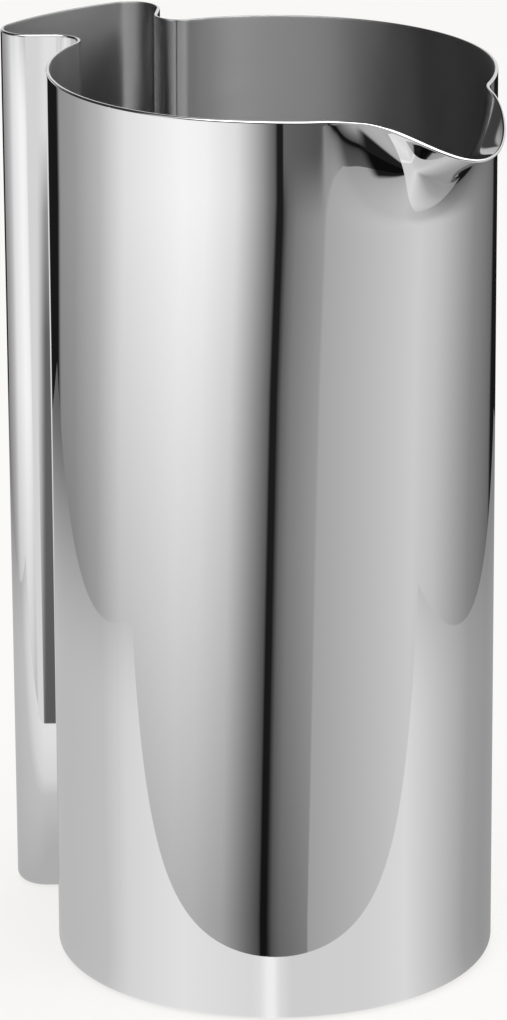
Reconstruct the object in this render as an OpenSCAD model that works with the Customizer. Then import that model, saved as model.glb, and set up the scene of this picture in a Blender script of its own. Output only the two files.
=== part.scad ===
// Open water carafe of polished sheet steel.
// A round body runs at the back into a hollow grip, with a finger groove down each side of it.
// A pouring lip is pressed out of the rim opposite the grip.
// The origin is on the body's axis at the table, +Z is up and +X points to the lip.

/* [Body] */
// Outer diameter of the round body
body_d = 104; // [90:1:125]
// Height of the rim above the table
body_h = 215.5; // [160:0.5:260]
// Thickness of the steel sheet
sheet = 0.8; // [0.6:0.1:1.2]

/* [Grip] */
// How far the back of the grip stands behind the round body
grip_depth = 24.4; // [20:0.2:32]
// Greatest width across the grip at the rim
grip_w = 45.4; // [40:0.2:54]
// How much narrower the grip is at its foot
grip_taper = 2; // [0:0.2:4]
// Outer radius of the two back corners of the grip
grip_corner_r = 7.5; // [5.5:0.1:9]
// Angle between each flank of the grip and the grip's middle line
flank_angle = 47.5; // [36:0.5:54]
// Radius of the finger groove on each side, where the grip folds into the body
groove_r = 5.4; // [3:0.1:7]
// Length of body curve that the grip sheet carries past each groove, up to the seam
seam_land = 4; // [2:0.5:12]

/* [Lip] */
// How far the lip stands out from the round body
lip_reach = 17.6; // [8:0.2:20]
// How far the tip of the lip lies below the rim
lip_drop = 9.2; // [2:0.2:14]
// How far the rim dips beside the lip, where the sheet is drawn outwards
shoulder_drop = 0.6; // [0.2:0.1:1.6]
// Angle to each side of the tip over which the lip swells out
lip_spread = 31; // [20:1:40]
// Angle to each side of the tip over which the edge of the lip dips
drop_spread = 22; // [14:1:36]
// Angle to each side of the tip over which the shoulders of the rim dip
shoulder_spread = 55; // [42:1:70]
// Depth below the rim at which the sheet starts to leave the round body
spout_depth = 27; // [24:1:60]
// Turn of the arc that the spout's section follows from the upright wall to its edge
lip_turn = 45; // [36:1:84]
// Bluntness of the tip seen from above
lip_bluntness = 2; // [1.6:0.1:4]
// Softness of the start of the swell, from 1 for a round start
swell_softness = 1.15; // [1:0.05:2]

/* [Base] */
// Outer radius of the edge under the wall
base_edge_r = 2.3; // [1.6:0.1:4]
// Height of the seam between the base pan and the walls
base_seam_h = 6; // [5:0.5:15]

/* [Hidden] */
steel = [0.78, 0.79, 0.80];

// Facets of the curved stretches
lip_steps = 44;
side_steps = 20;
spout_rows = 12;
land_steps = 2;
groove_steps = 16;
corner_steps = 14;
back_steps = 6;
edge_steps = 5;

// Small step in degrees for the slope of the spout's surface
slope_step = 0.01;

// Powers that give the dips of the edge a pointed and a flat middle
drop_power = 2;
shoulder_power = 4;

body_r = body_d / 2;
grip_r = body_r + grip_depth;
foot_w = grip_w - grip_taper;
axis_c = [0, 0];

// Outward normal of the flank and its run away from the body
flank_n = [sin(flank_angle), cos(flank_angle)];
flank_run = [-cos(flank_angle), sin(flank_angle)];

// Direction of the upright seam on the +Y side, beside the groove
seam_angle = angle_of(groove_c(grip_w)) - seam_land / body_r * 180 / PI;

// Angles of the columns of the body sheet, finer across the lip
lip_zone = max(lip_spread, drop_spread, shoulder_spread);
side_step = (seam_angle - lip_zone) / side_steps;
wall_angles = concat(
    [for (i = [0 : side_steps - 1]) -seam_angle + i * side_step],
    [for (i = [0 : lip_steps]) lip_zone * (2 * i / lip_steps - 1)],
    [for (i = [1 : side_steps]) lip_zone + i * side_step]
);

// Turns of the rows up the spout, from the upright wall to the edge of the lip
row_turns = [for (i = [0 : spout_rows]) lip_turn * i / spout_rows];

// The base pan's section as [inset from the outside, height], from its floor over its rim to the underside
edge_c = [base_edge_r, base_edge_r];
pan_profile = concat(
    arc(edge_c, base_edge_r - sheet, 270, 180, edge_steps),
    [[sheet, base_seam_h], [0, base_seam_h]],
    arc(edge_c, base_edge_r, 180, 270, edge_steps)
);

function arc(centre, r, from, to, steps) =
    [for (i = [0 : steps]) let (a = from + (to - from) * i / steps) centre + r * [cos(a), sin(a)]];
function reversed(list) = [for (i = [len(list) - 1 : -1 : 0]) list[i]];
function rest(list) = [for (i = [1 : len(list) - 1]) list[i]];
function mirrored(list) = [for (p = list) [p.x, -p.y]];

function angle_of(v) = atan2(v.y, v.x);
function raised(p, z) = [p.x, p.y, z];

// Share of a swell at an angle from the tip: 1 at the tip, 0 from the spread outwards
function swell(angle, spread, power) =
    abs(angle) < spread ? 1 - pow(sin(90 * abs(angle) / spread), power) : 0;

// How far the edge of the sheet lies below the rim
function edge_drop(angle) =
    (lip_drop - shoulder_drop) * swell(angle, drop_spread, drop_power)
    + shoulder_drop * swell(angle, shoulder_spread, shoulder_power);

// Outer point of the body sheet in the spout's height, where the turn runs from 0 to lip_turn at the edge
function spout_point(angle, turn) =
    let (
        out = pow((1 - cos(turn)) / (1 - cos(lip_turn)), swell_softness),
        rise = sin(turn) / sin(lip_turn),
        r = body_r + lip_reach * swell(angle, lip_spread, lip_bluntness) * out,
        height = spout_depth - edge_drop(angle)
    )
    [r * cos(angle), r * sin(angle), body_h - spout_depth + height * rise];

// Outward unit normal of the body sheet there
function spout_normal(angle, turn) =
    let (
        across = spout_point(angle + slope_step, turn) - spout_point(angle - slope_step, turn),
        up = spout_point(angle, turn + slope_step) - spout_point(angle, turn - slope_step),
        n = cross(across, up)
    )
    n / norm(n);

// Section of the body sheet at an angle: up the outside and down the inside
function wall_section(angle) =
    let (
        radial = [cos(angle), sin(angle), 0],
        foot = body_r * radial + [0, 0, base_seam_h],
        outer = [for (turn = row_turns) spout_point(angle, turn)],
        inner = [for (turn = row_turns) spout_point(angle, turn) - sheet * spout_normal(angle, turn)]
    )
    concat([foot], outer, reversed(inner), [foot - sheet * radial]);

// Centre of the grip's corner on the +Y side where the grip is w wide
function corner_c(w) =
    let (y = w / 2 - grip_corner_r)
    [-sqrt(pow(grip_r - grip_corner_r, 2) - pow(y, 2)), y];

// Centre of the groove there, which touches the flank and the round body
function groove_c(w) =
    let (
        offset = corner_c(w) * flank_n + grip_corner_r + groove_r,
        along = sqrt(pow(body_r + groove_r, 2) - pow(offset, 2))
    )
    along * flank_run + offset * flank_n;

// Half of the outline of a grip w wide on the +Y side, from the seam to the middle of the back
function grip_half(inset, w) =
    let (
        corner = corner_c(w),
        groove = groove_c(w),
        groove_angle = angle_of(groove),
        back_angle = angle_of(corner)
    )
    concat(
        arc(axis_c, body_r - inset, seam_angle, groove_angle, land_steps),
        rest(arc(groove, groove_r + inset, groove_angle - 180, -90 - flank_angle, groove_steps)),
        arc(corner, grip_corner_r - inset, 90 - flank_angle, back_angle, corner_steps),
        rest(arc(axis_c, grip_r - inset, back_angle, 180, back_steps))
    );

// The grip's outline from seam to seam
function grip_outline(inset, w) =
    let (half = grip_half(inset, w))
    concat(half, rest(reversed(mirrored(half))));

// Sections of the grip sheet along its outline: up the outside and down the inside
function grip_sections() =
    let (
        rim_out = grip_outline(0, grip_w),
        rim_in = grip_outline(sheet, grip_w),
        foot_out = grip_outline(0, foot_w),
        foot_in = grip_outline(sheet, foot_w)
    )
    [for (k = [0 : len(rim_out) - 1]) [
        raised(foot_out[k], base_seam_h),
        raised(rim_out[k], body_h),
        raised(rim_in[k], body_h),
        raised(foot_in[k], base_seam_h)
    ]];

// The carafe's whole outline at the foot, once round from the middle of the lip
function whole_outline(inset) =
    let (
        front = [for (a = wall_angles) if (a >= 0) (body_r - inset) * [cos(a), sin(a)]],
        half = concat(front, rest(grip_half(inset, foot_w)))
    )
    concat(half, rest(reversed(mirrored(rest(half)))));

// Triangles between neighbouring rings of n points
function skin_faces(rings, n) = [
    for (r = [0 : rings - 2], k = [0 : n - 1])
        let (a = r * n + k, b = r * n + (k + 1) % n)
        each [[a, b, b + n], [a, b + n, a + n]]
];

// Triangles across one ring, where point k and point last - k lie opposite each other
function cap_faces(n, last) = [
    for (k = [0 : floor(last / 2) - 1])
        let (b = k + 1, c = last - k - 1, d = (last - k) % n)
        each [if (b != c) [k, b, c], if (k != d) [k, c, d]]
];
function turned(faces) = [for (f = faces) reversed(f)];
function shifted(faces, by) = [for (f = faces) [for (i = f) i + by]];

// Closed solid through a row of rings, capped at both ends
module loft(rings, last) {
    n = len(rings[0]);
    end_cap = cap_faces(n, last);
    polyhedron(
        points = [for (ring = rings) each ring],
        faces = concat(
            turned(end_cap),
            skin_faces(len(rings), n),
            shifted(end_cap, (len(rings) - 1) * n)
        ),
        convexity = 10
    );
}

// Round body sheet with the pouring lip, from seam to seam
module body_wall() {
    sections = [for (a = wall_angles) wall_section(a)];
    color(steel) loft(sections, len(sections[0]) - 1);
}

// Folded grip sheet with the two finger grooves
module grip_wall() {
    sections = grip_sections();
    color(steel) loft(sections, len(sections[0]) - 1);
}

// Drawn bottom pan with a round edge and a low rim that carries both walls
module base_pan() {
    rings = [for (s = pan_profile) [for (p = whole_outline(s[0])) raised(p, s[1])]];
    color(steel) loft(rings, len(rings[0]));
}

body_wall();
grip_wall();
base_pan();
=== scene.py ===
import bpy
import bmesh
import math
from mathutils import Matrix, Vector


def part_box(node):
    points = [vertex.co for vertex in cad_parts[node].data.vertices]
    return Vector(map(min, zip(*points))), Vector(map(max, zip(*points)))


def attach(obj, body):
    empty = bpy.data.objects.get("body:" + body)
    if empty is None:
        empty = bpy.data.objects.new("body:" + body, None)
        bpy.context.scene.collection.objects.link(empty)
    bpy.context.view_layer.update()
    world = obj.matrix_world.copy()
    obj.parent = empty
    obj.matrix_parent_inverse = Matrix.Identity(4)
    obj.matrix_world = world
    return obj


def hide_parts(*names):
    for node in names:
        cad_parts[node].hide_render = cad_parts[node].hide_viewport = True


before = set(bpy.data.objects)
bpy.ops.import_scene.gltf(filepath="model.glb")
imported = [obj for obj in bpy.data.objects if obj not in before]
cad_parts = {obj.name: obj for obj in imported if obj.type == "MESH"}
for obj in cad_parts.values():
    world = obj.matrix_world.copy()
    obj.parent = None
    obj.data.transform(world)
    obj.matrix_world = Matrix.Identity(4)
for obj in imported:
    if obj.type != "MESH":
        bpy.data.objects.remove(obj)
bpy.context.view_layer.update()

# Main sizes in metres, read from the fixed frame
# three are rounded, as flat facets fall a hair short of the curve
wallLow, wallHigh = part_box("body_wall")
gripLow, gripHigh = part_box("grip_wall")
bodyRadius = round(wallHigh.y, 4)
rimHeight = round(wallHigh.z, 4)
seamHeight = round(wallLow.z, 4)
lipReach = wallHigh.x - bodyRadius
gripRadius = -gripLow.x
gripWidth = gripHigh.y - gripLow.y
seamAngle = math.degrees(math.acos(wallLow.x / bodyRadius))

# What all three sheets share
sheet = {
    "thickness": 0.0008,
    "rimOut": 0.0003,  # rounding of the rim's outer edge, inwards and down
    "rimDown": 0.0005,
    "rimIn": 0.0002,  # rounding of its inner edge
    "rimSteps": 6,
    "insideShare": 0.8,  # depth in the sheet from which it is satin
    "sharpAngle": 40.0,  # degrees, bends over this stay crisp
}
print("frame: body radius %.4f, rim %.4f, grip to %.4f" % (bodyRadius, rimHeight, gripRadius))


class Wire:
    # one output socket; sums written with it add Math nodes to its tree
    def __init__(self, net, socket):
        self.net = net
        self.socket = socket

    def other(self, output):
        return Wire(self.net, self.socket.node.outputs[output])

    def __add__(self, value):
        return self.net.math("ADD", self, value)

    def __radd__(self, value):
        return self.net.math("ADD", value, self)

    def __sub__(self, value):
        return self.net.math("SUBTRACT", self, value)

    def __rsub__(self, value):
        return self.net.math("SUBTRACT", value, self)

    def __mul__(self, value):
        return self.net.math("MULTIPLY", self, value)

    def __rmul__(self, value):
        return self.net.math("MULTIPLY", value, self)

    def __truediv__(self, value):
        return self.net.math("DIVIDE", self, value)

    def __rtruediv__(self, value):
        return self.net.math("DIVIDE", value, self)

    def __pow__(self, value):
        return self.net.math("POWER", self, value)


class Net:
    def __init__(self, tree):
        self.tree = tree

    def node(self, kind, settings=None, sockets=None, out=0):
        made = self.tree.nodes.new(kind)
        for key, value in (settings or {}).items():
            if key == "stops":
                setStops(made.color_ramp, value)
            else:
                setattr(made, key, value)
        for key, value in (sockets or {}).items():
            if isinstance(value, Wire):
                self.tree.links.new(value.socket, made.inputs[key])
            else:
                made.inputs[key].default_value = value
        return Wire(self, made.outputs[out]) if len(made.outputs) else None

    def math(self, operation, *values):
        return self.node("ShaderNodeMath", {"operation": operation}, dict(enumerate(values)))

    def smooth(self, value, start, end):
        settings = {"interpolation_type": "SMOOTHSTEP"}
        sockets = {"Value": value, "From Min": start, "From Max": end}
        return self.node("ShaderNodeMapRange", settings, sockets)


def setStops(ramp, stops):
    while len(ramp.elements) < len(stops):
        ramp.elements.new(1.0)
    for element, (place, level) in zip(ramp.elements, stops):
        element.position = place
        element.color = (level, level, level, 1.0)


# Materials

mirrorFinish = {
    "colour": (0.76, 0.76, 0.76, 1.0),
    "roughness": 0.02,
    "hairlines": 0.02,  # roughness that the polishing lines add
    "hairlineScale": (14.0, 900.0, 1.0),  # per metre along the sheet and up it
    "waveScale": (18.0, 9.0, 1.0),  # slow waves of the rolled sheet
    "waveHeight": 0.00002,
}

satinFinish = {
    "colour": (0.40, 0.40, 0.40, 1.0),
    "roughness": 0.38,
    "brushed": 0.92,  # lines run round the jug, so light spreads up and down
    "brushTurn": 0.25,  # share of a full turn
    "hairlines": 0.10,
    "hairlineScale": (25.0, 2600.0, 1.0),
    "grain": 0.00001,  # height of the brushed lines
    "polished": 0.04,  # roughness inside the lip
    "polishStart": 0.040,  # where along x the polish of the lip sets in
    "polishEnd": 0.052,
}

lineDetail = 3.0  # of the noise in both finishes
noiseMiddle = 0.5  # level that it varies about


def newMaterial(name, metallic=1.0):
    material = bpy.data.materials.new(name)
    material.use_nodes = True
    net = Net(material.node_tree)
    shader = next(n for n in material.node_tree.nodes if n.type == "BSDF_PRINCIPLED")
    shader.inputs["Metallic"].default_value = metallic
    return material, net, shader


def brushLines(net, scale):
    # long thin noise that runs along the sheet
    flat = net.node("ShaderNodeUVMap", {"uv_map": "sheet"})
    laid = net.node("ShaderNodeMapping", None, {"Vector": flat, "Scale": scale})
    return net.node("ShaderNodeTexNoise", None, {"Vector": laid, "Scale": 1.0, "Detail": lineDetail})


def bumpOf(net, height, metres):
    return net.node("ShaderNodeBump", None, {"Strength": 1.0, "Distance": metres, "Height": height})


def makeMirrorSteel():
    material, net, shader = newMaterial("mirrorSteel")
    lines = brushLines(net, mirrorFinish["hairlineScale"])
    roughness = mirrorFinish["roughness"] + (lines - noiseMiddle) * mirrorFinish["hairlines"]
    net.tree.links.new(roughness.socket, shader.inputs["Roughness"])
    waves = brushLines(net, mirrorFinish["waveScale"])
    bump = bumpOf(net, waves, mirrorFinish["waveHeight"])
    net.tree.links.new(bump.socket, shader.inputs["Normal"])
    shader.inputs["Base Color"].default_value = mirrorFinish["colour"]
    return material


def makeSatinSteel():
    material, net, shader = newMaterial("satinSteel")
    lines = brushLines(net, satinFinish["hairlineScale"])
    place = net.node("ShaderNodeTexCoord", None, None, "Object")
    along = net.node("ShaderNodeSeparateXYZ", None, {"Vector": place}, "X")
    inLip = net.smooth(along, satinFinish["polishStart"], satinFinish["polishEnd"])
    brushed = satinFinish["roughness"] + (lines - noiseMiddle) * satinFinish["hairlines"]
    roughness = brushed + (satinFinish["polished"] - brushed) * inLip
    net.tree.links.new(roughness.socket, shader.inputs["Roughness"])
    grain = bumpOf(net, lines * (1 - inLip), satinFinish["grain"])
    net.tree.links.new(grain.socket, shader.inputs["Normal"])
    shader.inputs["Anisotropic"].default_value = satinFinish["brushed"]
    shader.inputs["Anisotropic Rotation"].default_value = satinFinish["brushTurn"]
    shader.inputs["Base Color"].default_value = satinFinish["colour"]
    return material


mirrorSteel = makeMirrorSteel()
satinSteel = makeSatinSteel()
print("materials: made")


# Sheets that start as flat blanks: x along the sheet, y its depth from the outside, z up

def rimSection(rises, thickness):
    # up the outside, over the rim with its two rounded edges, down the inside
    top = rises[-1]
    down = sheet["rimDown"]
    rimOut = sheet["rimOut"]
    rimIn = sheet["rimIn"]
    innerStart = top + down - rimIn
    bends = [math.pi / 2 * i / sheet["rimSteps"] for i in range(1, sheet["rimSteps"] + 1)]
    outerEdge = [(rimOut * (1 - math.cos(a)), top + down * math.sin(a)) for a in bends]
    innerEdge = [(thickness - rimIn * (1 - math.cos(a)), innerStart + rimIn * math.sin(a)) for a in bends]
    outside = [(0.0, z) for z in rises]
    inside = [(thickness, z) for z in reversed(rises)]
    return outside + outerEdge + innerEdge[::-1] + inside


def makeBlank(name, columns, lengths, rises):
    # columns are places along the blank's x, lengths are metres along the sheet
    section = rimSection(rises, sheet["thickness"])
    size = len(section)
    points = [(column, depth, rise) for column in columns for depth, rise in section]
    faces = []
    for column in range(len(columns) - 1):
        start = column * size
        for k in range(size):
            after = (k + 1) % size
            faces.append((start + k, start + size + k, start + size + after, start + after))
    for start in (0, (len(columns) - 1) * size):
        for k in range(size // 2 - 1):
            faces.append((start + k, start + k + 1, start + size - 2 - k, start + size - 1 - k))
    mesh = bpy.data.meshes.new(name)
    mesh.from_pydata(points, [], faces)
    flat = mesh.uv_layers.new(name="sheet")
    for loop in mesh.loops:
        rise = mesh.vertices[loop.vertex_index].co.z
        flat.data[loop.index].uv = (lengths[loop.vertex_index // size], rise)
    blank = bpy.data.objects.new(name, mesh)
    bpy.context.scene.collection.objects.link(blank)
    return blank


def newTree(name, inputs):
    tree = bpy.data.node_groups.new(name, "GeometryNodeTree")
    tree.interface.new_socket("Blank", in_out="INPUT", socket_type="NodeSocketGeometry")
    for label, (kind, _) in inputs.items():
        tree.interface.new_socket(label, in_out="INPUT", socket_type="NodeSocket" + kind)
    tree.interface.new_socket("Piece", in_out="OUTPUT", socket_type="NodeSocketGeometry")
    net = Net(tree)
    given = net.node("NodeGroupInput")
    names = [socket.name for socket in given.socket.node.outputs if socket.name]
    return tree, net, {name: given.other(name) for name in names}


def useTree(blank, tree, inputs):
    modifier = blank.modifiers.new(tree.name, "NODES")
    modifier.node_group = tree
    for socket in tree.interface.items_tree:
        if socket.in_out == "INPUT" and socket.name in inputs:
            modifier[socket.identifier] = inputs[socket.name][1]


def plainMesh(piece):
    # bake the modifier into a mesh
    graph = bpy.context.evaluated_depsgraph_get()
    mesh = bpy.data.meshes.new_from_object(piece.evaluated_get(graph))
    piece.modifiers.clear()
    piece.data = mesh
    closeMesh(mesh)


def closeMesh(mesh):
    # normals outwards, smooth curves and crisp sheet edges
    work = bmesh.new()
    work.from_mesh(mesh)
    bmesh.ops.recalc_face_normals(work, faces=work.faces)
    work.to_mesh(mesh)
    work.free()
    mesh.shade_smooth()
    mesh.set_sharp_from_angle(angle=math.radians(sheet["sharpAngle"]))


def keepDepth(net, geometry, depth):
    kept = net.node("GeometryNodeCaptureAttribute", None, {"Geometry": geometry})
    kept.socket.node.capture_items.new("FLOAT", "Depth")
    net.tree.links.new(depth.socket, kept.socket.node.inputs["Depth"])
    return kept


def paintSheet(net, geometry, depth, given):
    # satin from the inner edge of the rim inwards, mirror on the rest
    whole = net.node("GeometryNodeRealizeInstances", None, {"Geometry": geometry})
    sockets = {"Geometry": whole, "Material": given["Outside"]}
    outside = net.node("GeometryNodeSetMaterial", None, sockets)
    limit = given["Sheet"] * sheet["insideShare"]
    inside = net.node("FunctionNodeCompare", {"operation": "GREATER_THAN"}, {0: depth, 1: limit})
    sockets = {"Geometry": outside, "Selection": inside, "Material": given["Inside"]}
    return net.node("GeometryNodeSetMaterial", None, sockets)


# Body sheet: rolled round, with the pouring lip pressed out of its rim

bodySheet = {
    "columnAngle": 0.75,  # degrees
    "seamStrip": 0.05,  # narrow last column, so that the shading runs on across the seam
    "spoutRows": 40,
    "lipDrop": 0.0092,
    "shoulderDrop": 0.0006,
    "lipSpread": 31.0,
    "dropSpread": 22.0,
    "shoulderSpread": 55.0,
    "spoutDepth": 0.027,
    "lipTurn": 45.0,  # turn of the arc that the spout's section follows
    "lipBluntness": 2.0,
    "swellSoftness": 1.15,
    "dropPower": 2.0,
    "shoulderPower": 4.0,
    "slopeStep": 0.002,  # radians, for the slope of the surface
}


def swellOf(net, angle, spread, power):
    share = net.math("MINIMUM", net.math("ABSOLUTE", angle) / spread, 1.0)
    return 1 - net.math("SINE", share * (math.pi / 2)) ** power


def dropOf(net, angle, given):
    tip = swellOf(net, angle, given["Drop Spread"], bodySheet["dropPower"])
    shoulder = swellOf(net, angle, given["Shoulder Spread"], bodySheet["shoulderPower"])
    return (given["Lip Drop"] - given["Shoulder Drop"]) * tip + given["Shoulder Drop"] * shoulder


def unitOf(net, parts):
    joined = net.node("ShaderNodeCombineXYZ", None, parts)
    unit = net.node("ShaderNodeVectorMath", {"operation": "NORMALIZE"}, {0: joined})
    return net.node("ShaderNodeSeparateXYZ", None, {"Vector": unit})


def pressTree(inputs):
    tree, net, given = newTree("pressSpout", inputs)
    place = net.node("GeometryNodeInputPosition")
    flat = net.node("ShaderNodeSeparateXYZ", None, {"Vector": place})
    depth = flat.other("Y")
    rise = flat.other("Z")
    kept = keepDepth(net, given["Blank"], depth)
    angle = flat.other("X") / given["Body Radius"]

    # the blank's height gives how far the sheet leans at the lip
    start = given["Edge Height"] - given["Spout Depth"]
    share = net.node("ShaderNodeClamp", None, {"Value": (rise - start) / given["Spout Depth"]})
    lean = net.math("ARCSINE", share * net.math("SINE", given["Lip Turn"]))
    below = net.math("MINIMUM", rise - start, 0.0)
    beyond = net.math("MAXIMUM", rise - given["Edge Height"], 0.0)

    # radius and height of the outer face, and their slopes along the lean and round the axis
    fullLean = 1 - net.math("COSINE", given["Lip Turn"])
    leanShare = (1 - net.math("COSINE", lean)) / fullLean
    softness = given["Swell Softness"]
    out = leanShare ** softness
    outSlope = softness * leanShare ** (softness - 1) * net.math("SINE", lean) / fullLean
    leanRise = net.math("SINE", lean) / net.math("SINE", given["Lip Turn"])
    leanRiseSlope = net.math("COSINE", lean) / net.math("SINE", given["Lip Turn"])
    step = bodySheet["slopeStep"]
    swell = {}
    drop = {}
    for shift in (-step, 0.0, step):
        swell[shift] = swellOf(net, angle + shift, given["Lip Spread"], given["Lip Bluntness"])
        drop[shift] = dropOf(net, angle + shift, given)
    radius = given["Body Radius"] + given["Lip Reach"] * swell[0.0] * out
    height = start + (given["Spout Depth"] - drop[0.0]) * leanRise + below
    radiusUp = given["Lip Reach"] * swell[0.0] * outSlope
    heightUp = (given["Spout Depth"] - drop[0.0]) * leanRiseSlope
    radiusRound = given["Lip Reach"] * out * (swell[step] - swell[-step]) / (2 * step)
    heightRound = (drop[-step] - drop[step]) * leanRise / (2 * step)

    # outward normal and upward run of the sheet, as radial, sideways and vertical shares
    sideways = heightRound * radiusUp - radiusRound * heightUp
    slope = {"X": radius * heightUp, "Y": sideways, "Z": -1 * radius * radiusUp}
    normal = unitOf(net, slope)
    upward = unitOf(net, {"X": radiusUp, "Y": 0.0, "Z": heightUp})
    radial = radius - depth * normal + beyond * upward
    side = 0 - depth * normal.other("Y")
    level = height - depth * normal.other("Z") + beyond * upward.other("Z")
    cosine = net.math("COSINE", angle)
    sine = net.math("SINE", angle)
    sockets = {"X": radial * cosine - side * sine, "Y": radial * sine + side * cosine, "Z": level}
    pressed = net.node("ShaderNodeCombineXYZ", None, sockets)
    shaped = net.node("GeometryNodeSetPosition", None, {"Geometry": kept, "Position": pressed})
    painted = paintSheet(net, shaped, kept.other("Depth"), given)
    net.node("NodeGroupOutput", None, {"Piece": painted})
    return tree


def bodyRuns():
    last = seamAngle
    inner = last - bodySheet["seamStrip"]
    count = round(2 * inner / bodySheet["columnAngle"])
    angles = [-last] + [inner * (2 * i / count - 1) for i in range(count + 1)] + [last]
    return [math.radians(a) * bodyRadius for a in angles]


def bodyRises():
    top = rimHeight - sheet["rimDown"]
    depth = bodySheet["spoutDepth"]
    lean = math.radians(bodySheet["lipTurn"])
    rows = bodySheet["spoutRows"]
    shares = [math.sin(lean * i / rows) / math.sin(lean) for i in range(rows + 1)]
    return [seamHeight] + [top - depth + depth * share for share in shares]


def makeBodySheet():
    inputs = {
        "Body Radius": ("Float", bodyRadius),
        "Edge Height": ("Float", rimHeight - sheet["rimDown"]),
        "Sheet": ("Float", sheet["thickness"]),
        "Spout Depth": ("Float", bodySheet["spoutDepth"]),
        "Lip Reach": ("Float", lipReach),
        "Lip Drop": ("Float", bodySheet["lipDrop"]),
        "Shoulder Drop": ("Float", bodySheet["shoulderDrop"]),
        "Lip Spread": ("Float", math.radians(bodySheet["lipSpread"])),
        "Drop Spread": ("Float", math.radians(bodySheet["dropSpread"])),
        "Shoulder Spread": ("Float", math.radians(bodySheet["shoulderSpread"])),
        "Lip Turn": ("Float", math.radians(bodySheet["lipTurn"])),
        "Lip Bluntness": ("Float", bodySheet["lipBluntness"]),
        "Swell Softness": ("Float", bodySheet["swellSoftness"]),
        "Outside": ("Material", mirrorSteel),
        "Inside": ("Material", satinSteel),
    }
    runs = bodyRuns()
    piece = makeBlank("bodySheet", runs, runs, bodyRises())
    useTree(piece, pressTree(inputs), inputs)
    plainMesh(piece)
    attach(piece, "root")
    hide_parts("body_wall")
    return piece


bodyPiece = makeBodySheet()
print("body sheet: %d faces" % len(bodyPiece.data.polygons))


# Grip sheet: folded along its outline, with a finger groove down each side

gripSheet = {
    "taper": 0.002,  # how much narrower the grip is at its foot
    "cornerRadius": 0.0075,
    "flankAngle": 47.5,
    "grooveRadius": 0.0054,
    "landSteps": 4,  # points along each stretch of the outline
    "foldSteps": 40,
    "bendSteps": 42,
    "backSteps": 12,
}


def around(centre, radius, start, end, count):
    angles = [math.radians(start + (end - start) * i / count) for i in range(count + 1)]
    return [centre + radius * Vector((math.cos(a), math.sin(a))) for a in angles]


def gripHalf(width, inset):
    # from the seam to the middle of the back, on the +Y side
    axis = Vector((0.0, 0.0))
    cornerRadius = gripSheet["cornerRadius"]
    grooveRadius = gripSheet["grooveRadius"]
    lean = gripSheet["flankAngle"]
    flank = math.radians(lean)
    cornerSide = width / 2 - cornerRadius
    corner = Vector((-math.sqrt((gripRadius - cornerRadius) ** 2 - cornerSide ** 2), cornerSide))
    backAngle = math.degrees(math.atan2(corner.y, corner.x))
    flankNormal = Vector((math.sin(flank), math.cos(flank)))
    flankRun = Vector((-math.cos(flank), math.sin(flank)))
    grooveOut = corner.dot(flankNormal) + cornerRadius + grooveRadius
    grooveAlong = math.sqrt((bodyRadius + grooveRadius) ** 2 - grooveOut ** 2)
    groove = grooveAlong * flankRun + grooveOut * flankNormal
    grooveAngle = math.degrees(math.atan2(groove.y, groove.x))
    landStart = seamAngle + bodySheet["seamStrip"]
    seam = around(axis, bodyRadius - inset, seamAngle, landStart, 1)
    land = around(axis, bodyRadius - inset, landStart, grooveAngle, gripSheet["landSteps"])
    fold = around(groove, grooveRadius + inset, grooveAngle - 180, -90 - lean, gripSheet["foldSteps"])
    bend = around(corner, cornerRadius - inset, 90 - lean, backAngle, gripSheet["bendSteps"])
    back = around(axis, gripRadius - inset, backAngle, 180, gripSheet["backSteps"])
    return seam + land[1:] + fold[1:] + bend + back[1:]


def bothSides(half):
    return half + [Vector((p.x, -p.y)) for p in reversed(half[:-1])]


halfColumn = 0.5  # keeps the picked index clear of rounding


def foldTree(inputs):
    tree, net, given = newTree("foldGrip", inputs)
    place = net.node("GeometryNodeInputPosition")
    flat = net.node("ShaderNodeSeparateXYZ", None, {"Vector": place})
    depth = flat.other("Y")
    rise = flat.other("Z")
    kept = keepDepth(net, given["Blank"], depth)

    # the blank's column picks a point on the foot's outline and one on the rim's, mixed by height
    paths = net.node("GeometryNodeObjectInfo", None, {"Object": given["Outlines"]}, "Geometry")
    tangent = net.node("GeometryNodeInputTangent")
    column = flat + halfColumn
    share = (rise - given["Foot Height"]) / (given["Rim Height"] - given["Foot Height"])
    point = pickBetween(net, paths, place, column, given["Columns"], share)
    run = pickBetween(net, paths, tangent, column, given["Columns"], share)
    sockets = {"X": point - depth * run.other("Y"), "Y": point.other("Y") + depth * run, "Z": rise}
    folded = net.node("ShaderNodeCombineXYZ", None, sockets)
    shaped = net.node("GeometryNodeSetPosition", None, {"Geometry": kept, "Position": folded})
    painted = paintSheet(net, shaped, kept.other("Depth"), given)
    net.node("NodeGroupOutput", None, {"Piece": painted})
    return tree


def pickBetween(net, paths, field, column, columns, share):
    # the foot's points come first and the rim's follow; the Mix node's vectors are its inputs 4 and 5
    sampling = {"data_type": "FLOAT_VECTOR", "domain": "POINT"}
    picked = []
    for index in (column, column + columns):
        sockets = {"Geometry": paths, "Value": field, "Index": index}
        picked.append(net.node("GeometryNodeSampleIndex", sampling, sockets))
    foot, rim = picked
    mixing = {"data_type": "VECTOR", "clamp_factor": False}
    mixed = net.node("ShaderNodeMix", mixing, {0: share, 4: foot, 5: rim}, 1)
    return net.node("ShaderNodeSeparateXYZ", None, {"Vector": mixed})


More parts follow.
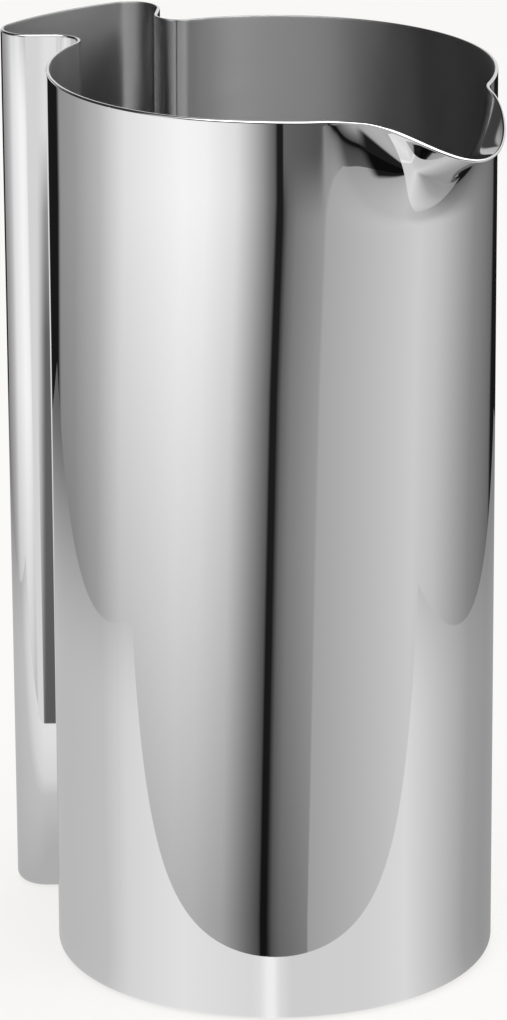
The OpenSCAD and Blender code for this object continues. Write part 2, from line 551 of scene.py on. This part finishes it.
def makeOutlines(lines):
    curve = bpy.data.curves.new("gripOutlines", "CURVE")
    curve.dimensions = "3D"
    for points in lines:
        spline = curve.splines.new("POLY")
        spline.points.add(len(points) - 1)
        for target, point in zip(spline.points, points):
            target.co = (point.x, point.y, 0.0, 1.0)
    outlines = bpy.data.objects.new("gripOutlines", curve)
    bpy.context.scene.collection.objects.link(outlines)
    return outlines


def makeGripSheet():
    rim = bothSides(gripHalf(gripWidth, 0.0))
    foot = bothSides(gripHalf(gripWidth - gripSheet["taper"], 0.0))
    lengths = [0.0]
    for before, after in zip(rim, rim[1:]):
        lengths.append(lengths[-1] + (after - before).length)
    outlines = makeOutlines([foot, rim])
    inputs = {
        "Outlines": ("Object", outlines),
        "Columns": ("Float", float(len(rim))),
        "Foot Height": ("Float", seamHeight),
        "Rim Height": ("Float", rimHeight),
        "Sheet": ("Float", sheet["thickness"]),
        "Outside": ("Material", mirrorSteel),
        "Inside": ("Material", satinSteel),
    }
    rises = [seamHeight, rimHeight - sheet["rimDown"]]
    piece = makeBlank("gripSheet", range(len(rim)), lengths, rises)
    useTree(piece, foldTree(inputs), inputs)
    plainMesh(piece)
    bpy.data.objects.remove(outlines)
    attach(piece, "root")
    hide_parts("grip_wall")
    return piece


gripPiece = makeGripSheet()
print("grip sheet: %d faces" % len(gripPiece.data.polygons))


# Base pan: flat bottom with a round edge and a low rim under both sheets

basePan = {
    "edgeRadius": 0.0023,
    "edgeSteps": 12,
    "frontSteps": 104,  # points on each half of the round front
}


def panOutline(inset):
    axis = Vector((0.0, 0.0))
    front = around(axis, bodyRadius - inset, 0.0, seamAngle, basePan["frontSteps"])
    half = front + gripHalf(gripWidth - gripSheet["taper"], inset)[1:]
    return half + [Vector((p.x, -p.y)) for p in reversed(half[1:-1])]


def panSection():
    # inset from the outside and height: floor edge, rim, then down the outside to the underside
    radius = basePan["edgeRadius"]
    thickness = sheet["thickness"]
    middle = Vector((radius, radius))
    inner = around(middle, radius - thickness, 270, 180, basePan["edgeSteps"])
    outer = around(middle, radius, 180, 270, basePan["edgeSteps"])
    return inner + [Vector((thickness, seamHeight)), Vector((0.0, seamHeight))] + outer


def acrossFaces(start, size):
    # strips between points that lie opposite each other about the middle plane
    strips = []
    for k in range(size // 2):
        corners = [k, k + 1, size - k - 1, (size - k) % size]
        strips.append([start + c for c in dict.fromkeys(corners)])
    return strips


def makeBasePan():
    section = panSection()
    rings = [panOutline(p.x) for p in section]
    size = len(rings[0])
    points = [(p.x, p.y, s.y) for s, ring in zip(section, rings) for p in ring]
    faces = []
    for start in range(0, (len(rings) - 1) * size, size):
        for k in range(size):
            after = (k + 1) % size
            faces.append([start + k, start + after, start + size + after, start + size + k])
    insideCount = (basePan["edgeSteps"] + 1) * size  # faces from the floor to the top of the rim
    floorStart = len(faces)
    floor = acrossFaces(0, size)
    underside = acrossFaces((len(rings) - 1) * size, size)
    faces += floor + underside
    mesh = bpy.data.meshes.new("basePan")
    mesh.from_pydata(points, [], faces)
    mesh.materials.append(mirrorSteel)
    mesh.materials.append(satinSteel)
    for face in mesh.polygons:
        onFloor = floorStart <= face.index < floorStart + len(floor)
        face.material_index = 1 if face.index < insideCount or onFloor else 0
    flat = mesh.uv_layers.new(name="sheet")
    for loop in mesh.loops:
        place = mesh.vertices[loop.vertex_index].co
        flat.data[loop.index].uv = (math.atan2(place.y, place.x) * bodyRadius, place.xy.length)
    closeMesh(mesh)
    piece = bpy.data.objects.new("basePan", mesh)
    bpy.context.scene.collection.objects.link(piece)
    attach(piece, "root")
    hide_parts("base_pan")
    return piece


panPiece = makeBasePan()
print("base pan: %d faces" % len(panPiece.data.polygons))


# Camera, at the photograph's angle

view = {
    "azimuth": 47.6,  # degrees, the camera stands this far round from -Y towards +X
    "elevation": 17.953,
    "distance": 1.36825,
    "aimSide": -0.0047,  # the aimed point, to the right of the axis
    "aimHeight": 0.10821,
    "roll": -0.2506,
    "lens": 204.99,
    "sensor": 36.0,
}

azimuth = math.radians(view["azimuth"])
towardsCamera = Vector((math.sin(azimuth), -math.cos(azimuth), 0.0))
toTheRight = Vector((math.cos(azimuth), math.sin(azimuth), 0.0))


def makeCamera():
    elevation = math.radians(view["elevation"])
    roll = math.radians(view["roll"])
    upright = Vector((0.0, 0.0, 1.0))
    back = towardsCamera * math.cos(elevation) + upright * math.sin(elevation)
    up = back.cross(toTheRight)
    right = toTheRight * math.cos(roll) + up * math.sin(roll)
    up = back.cross(right)
    aim = toTheRight * view["aimSide"] + upright * view["aimHeight"]
    data = bpy.data.cameras.new("camera")
    data.lens = view["lens"]
    data.sensor_width = view["sensor"]
    camera = bpy.data.objects.new("camera", data)
    turn = Matrix((right, up, back)).transposed().to_4x4()
    camera.matrix_world = Matrix.Translation(aim + back * view["distance"]) @ turn
    bpy.context.scene.collection.objects.link(camera)
    bpy.context.scene.camera = camera


makeCamera()


# Studio: pale floor, a glowing table top that the metal mirrors, with painted light and shade in its glow,
# soft cards round it

studio = {
    "floorSize": 12.0,
    "floorDrop": 0.0001,  # keeps the underside clear of the floor
    "floorColour": (0.93, 0.928, 0.922, 1.0),
    "floorGlow": 0.75,  # share of the floor that is plainly pale for the camera, the rest takes the shadow
    "backdrop": (0.995, 0.985, 0.968, 1.0),
    "ambient": 0.72,
    "lampSize": 1.2,
    "lampHeight": 1.6,
    "lampPower": 7.0,
}

# glowing table top, seen only in the metal: its edges from the axis and its brightness round the jug,
# painted light and shade that is brighter towards the camera and darker behind, most of all at the back
# right where the jug's shadow falls
table = {
    "front": 0.0905,
    "back": -0.42,
    "left": -0.305,
    "rightFront": 0.331,
    "rightBack": 0.172,
    "lift": 0.0002,
    "near": 0.22,  # metres from the axis over which it dims
    "far": 0.50,
    "farShare": 0.5,
    "leftMore": 0.5,  # how much more it dims on the left
    "leftTurn": (0.0, -60.0),
    "scale": 1.2,
    "levels": [
        (-180, 0.55),
        (-103, 0.67),
        (-85, 0.85),
        (-50, 0.98),
        (-13, 0.89),
        (-8, 0.94),
        (-4, 1.12),
        (-1, 1.12),
        (2, 0.92),
        (8, 0.8),
        (47, 0.82),
        (73, 0.9),
        (98, 0.67),
        (125, 0.44),
        (150, 0.37),
        (180, 0.36),
    ],
}

# upright card close to the grip, which its flank mirrors: pale on the left, by height on the right
flankCard = {
    "front": 0.03728,  # here the round wall never mirrors it
    "left": -0.094,
    "right": -0.050,
    "soft": 0.008,
    "splitLeft": -0.0610,
    "splitRight": -0.0584,
    "splitHeight": 0.14,  # the split leans with the grip's taper from here
    "splitLean": 0.0143,
    "leftLevel": 0.86,
    "foot": 0.018,
    "top": 0.215,
    "levels": [
        (0.018, 0.13),
        (0.125, 0.16),
        (0.158, 0.37),
        (0.18, 0.95),
        (0.215, 1.0),
    ],
}

# cards round the table, seen only in the metal: brightness by degrees to the right of the camera
# two degrees say where something sets in and is full, four also where it fades and is gone
cards = {
    "scale": 1.2,
    "slantAbove": 2.0,  # degrees sideways for each degree of height
    "slantBelow": 1.2,
    "slantFrom": -16.8,
    "slantLow": -22.0,
    "slantHigh": -14.9,
    "leftLow": 0.54,  # the left card dims towards its foot
    "leftHigh": 1.16,
    "leftTurn": (0.0, -6.0),
    "rightLow": 0.84,  # and so does the right one
    "rightFall": (-15.0, -27.0),
    "rightStart": (23.1, 24.1),
    "gapDark": 0.015,  # dark gap between the table and the camera
    "gapEdge": (-38.0, -48.0),
    "gapTurn": (-34.0, -26.0, 23.0, 31.0),
    "midLow": 0.3,  # what is left far below of the grey beside the black core
    "midFoot": (-17.5, -27.0),
    "midTop": (-15.2, -14.4),  # towards its top it turns to this level, less the fall for each degree
    "midTone": 0.158,
    "midFall": 0.0026,
    "midTurn": (1.0, 2.0, 22.6, 23.6),
    "rightHigh": 0.3,  # what is left of the right card at its top, beside the lip
    "rightTop": (-14.75, -14.55),
    "rightTurn": (22.6, 23.6, 55.0, 70.0),
    "topEdge": (-11.0, -7.0),  # heights over which the cards end
    "frontDark": 0.06,
    "frontTurn": (40.0, 65.0),
    "lampEdge": (15.0, 32.0),  # heights over which the light overhead sets in
    "lampScale": 6.0,
    "lamps": [
        (-180, 0.02),
        (-72, 0.05),
        (-58, 0.35),
        (-36, 3.6),
        (10, 4.0),
        (21, 5.6),
        (42, 2.2),
        (60, 2.2),
        (85, 3.2),
        (150, 0.1),
        (180, 0.02),
    ],
    "sideDark": 0.05,  # what is left of the room's left side above the cards
    "sideTurn": (-150.0, -130.0, -75.0, -45.0),
    "backWall": 0.85,
    "backTurn": (75.0, 120.0),
    "lipDark": 0.1,  # dark stretch of the back wall that the lip mirrors
    "lipTurn": (-161.0, -158.0, -128.0, -120.0),
    "lipEdge": (2.0, 6.0, 16.5, 18.5),
    "levels": [
        (-180, 0.01),
        (-147, 0.01),
        (-143, 0.3),
        (-125, 0.35),
        (-103, 0.52),
        (-85, 0.83),
        (-50, 1.03),
        (-38, 1.0),
        (-22, 0.82),
        (-10, 0.38),
        (-2.2, 0.13),
        (-1.5, 0.015),
        (2.2, 0.015),
        (3.2, 0.14),
        (8.7, 0.26),
        (22.6, 0.4),
        (23.6, 0.49),
        (78, 0.8),
        (92, 0.7),
        (111, 0.45),
        (123, 0.32),
        (150, 0.16),
        (153.5, 0.01),
    ],
}


def makePlane(name, corners, material):
    mesh = bpy.data.meshes.new(name)
    mesh.from_pydata(corners, [], [(0, 1, 2, 3)])
    mesh.materials.append(material)
    plane = bpy.data.objects.new(name, mesh)
    bpy.context.scene.collection.objects.link(plane)
    return plane


def spot(side, front, height):
    return toTheRight * side + towardsCamera * front + Vector((0.0, 0.0, height))


def hideButGlossy(plane):
    plane.visible_camera = False
    plane.visible_diffuse = False
    plane.visible_shadow = False


def between(net, value, ends):
    start, full, fade, end = ends
    return net.smooth(value, start, full) * (1 - net.smooth(value, fade, end))


def dot(net, way, axis):
    return net.node("ShaderNodeVectorMath", {"operation": "DOT_PRODUCT"}, {0: way, 1: axis}, "Value")


def turnOf(net, way):
    # degrees to the right of the camera, seen from the axis
    turn = net.math("ARCTAN2", dot(net, way, toTheRight), dot(net, way, towardsCamera))
    return turn * math.degrees(1)


def levelRound(net, turn, levels, scale):
    # the ramp holds one full turn, with the camera in its middle
    stops = [(degrees / 360 + 0.5, level / scale) for degrees, level in levels]
    return net.node("ShaderNodeValToRGB", {"stops": stops}, {"Fac": turn / 360 + 0.5}) * scale


def newGlow(name):
    # empty material for what the metal mirrors, and the place on its surface
    material = bpy.data.materials.new(name)
    material.use_nodes = True
    material.node_tree.nodes.clear()
    net = Net(material.node_tree)
    return material, net, net.node("ShaderNodeTexCoord", None, None, "Object")


def glowOf(net, level):
    shade = net.node("ShaderNodeCombineColor", None, {0: level, 1: level, 2: level})
    return net.node("ShaderNodeEmission", None, {"Color": shade, "Strength": 1.0})


def makeFloor():
    material, net, shader = newMaterial("paleFloor", 0.0)
    shader.inputs["Roughness"].default_value = 1.0
    shader.inputs["Specular IOR Level"].default_value = 0.0
    shader.inputs["Base Color"].default_value = studio["floorColour"]
    glow = net.node("ShaderNodeEmission", None, {"Color": studio["backdrop"], "Strength": 1.0})
    path = net.node("ShaderNodeLightPath", None, None, "Is Camera Ray")
    plain = Wire(net, shader.outputs[0])
    mixed = net.node("ShaderNodeMixShader", None, {0: path * studio["floorGlow"], 1: plain, 2: glow})
    end = next(n for n in net.tree.nodes if n.type == "OUTPUT_MATERIAL")
    net.tree.links.new(mixed.socket, end.inputs["Surface"])
    half = studio["floorSize"] / 2
    places = [(-half, half), (half, half), (half, -half), (-half, -half)]
    corners = [spot(side, front, -studio["floorDrop"]) for side, front in places]
    floor = makePlane("floor", corners, material)
    floor.visible_glossy = False


def makeTable():
    material, net, place = newGlow("tableTopPaintedLight")
    away = net.node("ShaderNodeVectorMath", {"operation": "LENGTH"}, {0: place}, "Value")
    # the wall mirrors a spot on the table into this direction
    mirrored = turnOf(net, place) * 2 / (2 - bodyRadius / away)
    # painted light and shade: the glow is set brighter or darker by direction round the jug, and dims
    # further out, more on the left
    level = levelRound(net, mirrored, table["levels"], table["scale"])
    onLeft = net.smooth(mirrored, *table["leftTurn"])
    fall = net.smooth(away, table["near"], table["far"]) * (1 + onLeft * table["leftMore"])
    level = level * (1 - fall * (1 - table["farShare"]))
    net.node("ShaderNodeOutputMaterial", None, {"Surface": glowOf(net, level)})
    corners = [
        spot(table["left"], table["front"], table["lift"]),
        spot(table["rightFront"], table["front"], table["lift"]),
        spot(table["rightBack"], table["back"], table["lift"]),
        spot(table["left"], table["back"], table["lift"]),
    ]
    hideButGlossy(makePlane("tableTop", corners, material))


def makeFlankCard():
    material, net, place = newGlow("flankCard")
    side = dot(net, place, toTheRight)
    height = net.node("ShaderNodeSeparateXYZ", None, {"Vector": place}, "Z")
    shown = net.smooth(side, flankCard["left"], flankCard["left"] + flankCard["soft"])
    tall = flankCard["top"]
    stops = [(high / tall, level) for high, level in flankCard["levels"]]
    level = net.node("ShaderNodeValToRGB", {"stops": stops}, {"Fac": height / tall})
    leaning = side + (flankCard["splitHeight"] - height) * flankCard["splitLean"]
    onRight = net.smooth(leaning, flankCard["splitLeft"], flankCard["splitRight"])
    level = flankCard["leftLevel"] + (level - flankCard["leftLevel"]) * onRight
    clear = net.node("ShaderNodeBsdfTransparent")
    mixed = net.node("ShaderNodeMixShader", None, {0: shown, 1: clear, 2: glowOf(net, level)})
    net.node("ShaderNodeOutputMaterial", None, {"Surface": mixed})
    corners = [
        spot(flankCard["left"], flankCard["front"], flankCard["foot"]),
        spot(flankCard["right"], flankCard["front"], flankCard["foot"]),
        spot(flankCard["right"], flankCard["front"], flankCard["top"]),
        spot(flankCard["left"], flankCard["front"], flankCard["top"]),
    ]
    hideButGlossy(makePlane("flankCard", corners, material))


def makeWorld():
    world = bpy.data.worlds.new("studio")
    world.use_nodes = True
    bpy.context.scene.world = world
    net = Net(world.node_tree)
    background = next(n for n in world.node_tree.nodes if n.type == "BACKGROUND")
    way = net.node("ShaderNodeTexCoord", None, None, "Generated")
    turn = turnOf(net, way)
    rise = net.node("ShaderNodeSeparateXYZ", None, {"Vector": way}, "Z")
    height = net.math("ARCSINE", rise) * math.degrees(1)

    # the cards lean a little, and the left one dims towards its foot
    sockets = {"Value": height, "Min": cards["slantLow"], "Max": cards["slantHigh"]}
    low = net.node("ShaderNodeClamp", None, sockets)
    higher = net.math("MAXIMUM", low - cards["slantFrom"], 0.0)
    lower = net.math("MINIMUM", low - cards["slantFrom"], 0.0)
    leaning = turn - higher * cards["slantAbove"] - lower * cards["slantBelow"]
    card = levelRound(net, leaning, cards["levels"], cards["scale"])
    sockets = {
        "Value": low,
        "From Min": cards["slantLow"],
        "From Max": cards["slantHigh"],
        "To Min": cards["leftLow"],
        "To Max": cards["leftHigh"],
    }
    dim = net.node("ShaderNodeMapRange", None, sockets)
    card = card * (1 + (dim - 1) * net.smooth(turn, *cards["leftTurn"]))

    # dark gap in front of the table
    gap = net.smooth(height, *cards["gapEdge"]) * between(net, turn, cards["gapTurn"])
    card = card + (cards["gapDark"] - card) * gap

    # the right card dims towards its foot as well
    fall = net.smooth(height, *cards["rightFall"]) * net.smooth(leaning, *cards["rightStart"])
    card = card * (1 - fall * (1 - cards["rightLow"]))

    # the grey right of the black core changes upwards and downwards, and the right card at its top
    inMiddle = between(net, leaning, cards["midTurn"])
    card = card * (1 - net.smooth(height, *cards["midFoot"]) * inMiddle * (1 - cards["midLow"]))
    topTone = cards["midTone"] - leaning * cards["midFall"]
    card = card + (topTone - card) * (net.smooth(height, *cards["midTop"]) * inMiddle)
    onRight = between(net, leaning, cards["rightTurn"])
    card = card * (1 - net.smooth(height, *cards["rightTop"]) * onRight * (1 - cards["rightHigh"]))

    # higher up it is dark beside the camera, with a pale wall at the back and lamps overhead
    fromFront = net.math("ABSOLUTE", turn)
    upper = cards["frontDark"] + (card - cards["frontDark"]) * net.smooth(fromFront, *cards["frontTurn"])
    upper = upper + (cards["backWall"] - upper) * net.smooth(fromFront, *cards["backTurn"])
    upper = upper * (1 - between(net, turn, cards["sideTurn"]) * (1 - cards["sideDark"]))
    atLip = between(net, turn, cards["lipTurn"]) * between(net, height, cards["lipEdge"])
    upper = upper + (cards["lipDark"] - upper) * atLip
    lamps = levelRound(net, turn, cards["lamps"], cards["lampScale"])
    upper = upper + (lamps - upper) * net.smooth(height, *cards["lampEdge"])
    card = card + (upper - card) * net.smooth(height, *cards["topEdge"])

    path = net.node("ShaderNodeLightPath", None, None, "Is Glossy Ray")
    strength = studio["ambient"] + (card - studio["ambient"]) * path
    background.inputs["Color"].default_value = (1.0, 1.0, 1.0, 1.0)
    net.tree.links.new(strength.socket, background.inputs["Strength"])


def makeLamp():
    data = bpy.data.lights.new("softbox", "AREA")
    data.shape = "SQUARE"
    data.size = studio["lampSize"]
    data.energy = studio["lampPower"]
    lamp = bpy.data.objects.new("softbox", data)
    lamp.location = (0.0, 0.0, studio["lampHeight"])
    lamp.visible_glossy = False
    bpy.context.scene.collection.objects.link(lamp)


makeFloor()
makeTable()
makeFlankCard()
makeWorld()
makeLamp()
bpy.context.scene.view_settings.view_transform = "Standard"
print("studio: ready")
